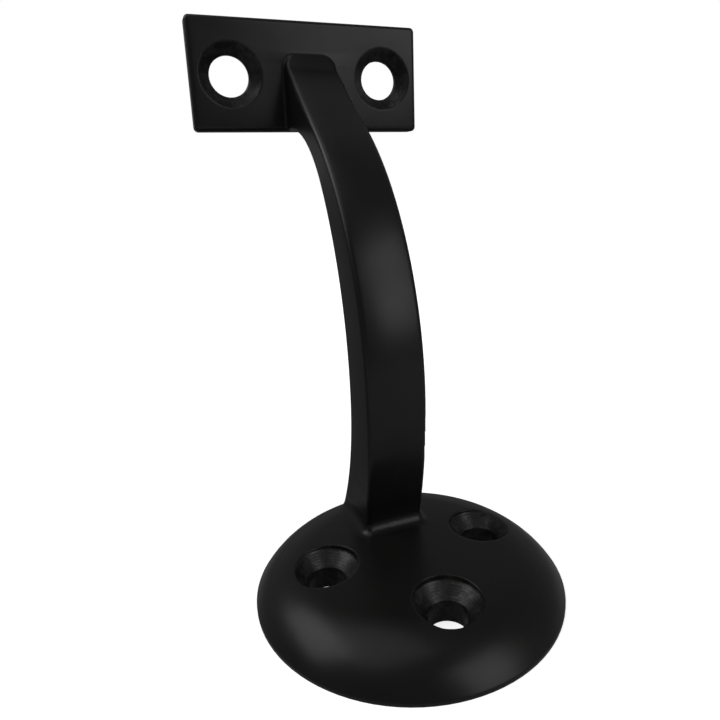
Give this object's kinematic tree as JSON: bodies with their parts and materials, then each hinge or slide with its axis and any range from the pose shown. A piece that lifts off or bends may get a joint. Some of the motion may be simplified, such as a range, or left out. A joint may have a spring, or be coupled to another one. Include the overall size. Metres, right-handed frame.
{
  "type": "handrail bracket",
  "caption": "Cast handrail bracket: a domed round wall plate with countersunk screw holes, a bowed arm and a flat rectangular saddle plate that screws under the rail.",
  "frame": {"origin": "centre of the wall plate's flat back face", "axes": "+Z straight out of the wall, +X along the rail, +Y from the wall plate's axis towards the rail, which is up on a fitted bracket"},
  "size_m": [0.045, 0.0644, 0.0853],
  "materials": {
    "black_coating": "satin black coating on cast metal"
  },
  "bodies": {
    "root": {"bracket_casting": "black_coating"}
  },
  "joints": []
}
